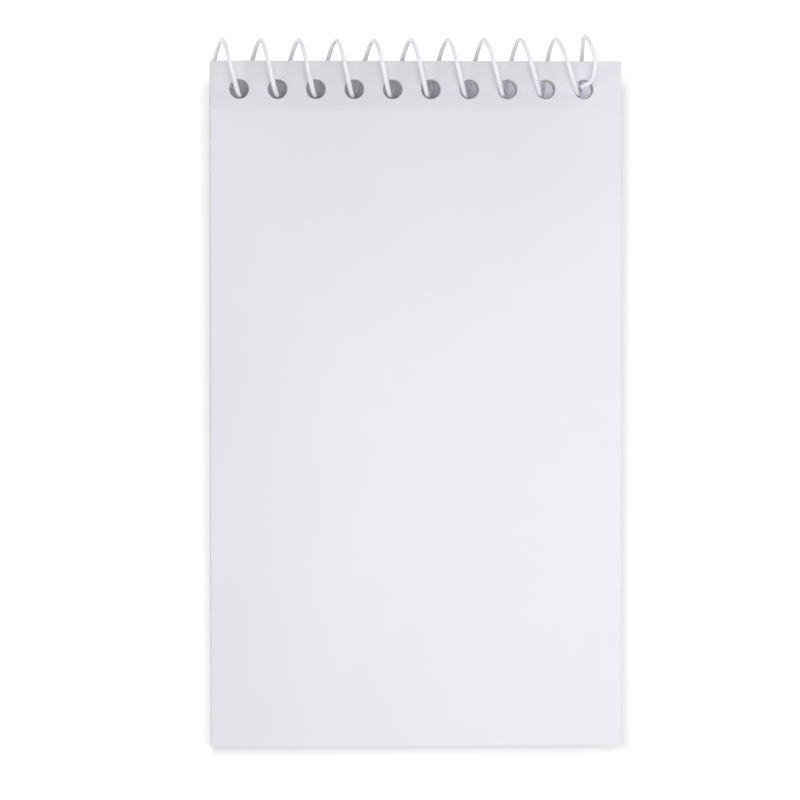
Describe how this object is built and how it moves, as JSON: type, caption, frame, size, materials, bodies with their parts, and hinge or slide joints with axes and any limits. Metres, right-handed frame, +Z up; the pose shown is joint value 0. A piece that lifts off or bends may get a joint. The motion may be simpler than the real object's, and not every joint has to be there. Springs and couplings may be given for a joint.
{
  "type": "reporter notebook",
  "caption": "Plain pocket notebook bound along its top edge by a white wire coil, with a card cover that folds at a score line and a stiff back board.",
  "frame": {"origin": "middle of the whole outline, at the lowest point of the coil", "axes": "+X along the coil, to the right as seen from the front; +Y from the foot of the pad to its bound edge; +Z up, out of the front cover"},
  "size_m": [0.0762, 0.1322, 0.0113],
  "materials": {
    "cover_card": "smooth uncoated white card with a faint lilac cast",
    "paper": "white writing paper, ruled",
    "grey_board": "raw grey board with fibre flecks",
    "coated_wire": "steel wire in a satin white coat"
  },
  "bodies": {
    "pad": {"back_board": "grey_board", "pages": "paper", "cover_binding_strip": "cover_card", "binding_coil": "coated_wire"},
    "cover": {"front_cover": "cover_card"}
  },
  "joints": [
    {"name": "front_cover_fold", "type": "hinge", "parent": "pad", "child": "cover", "pos_m": [0, 0.0517, 0.00755], "axis": [-1, 0, 0], "range_deg": [0, 148]}
  ]
}
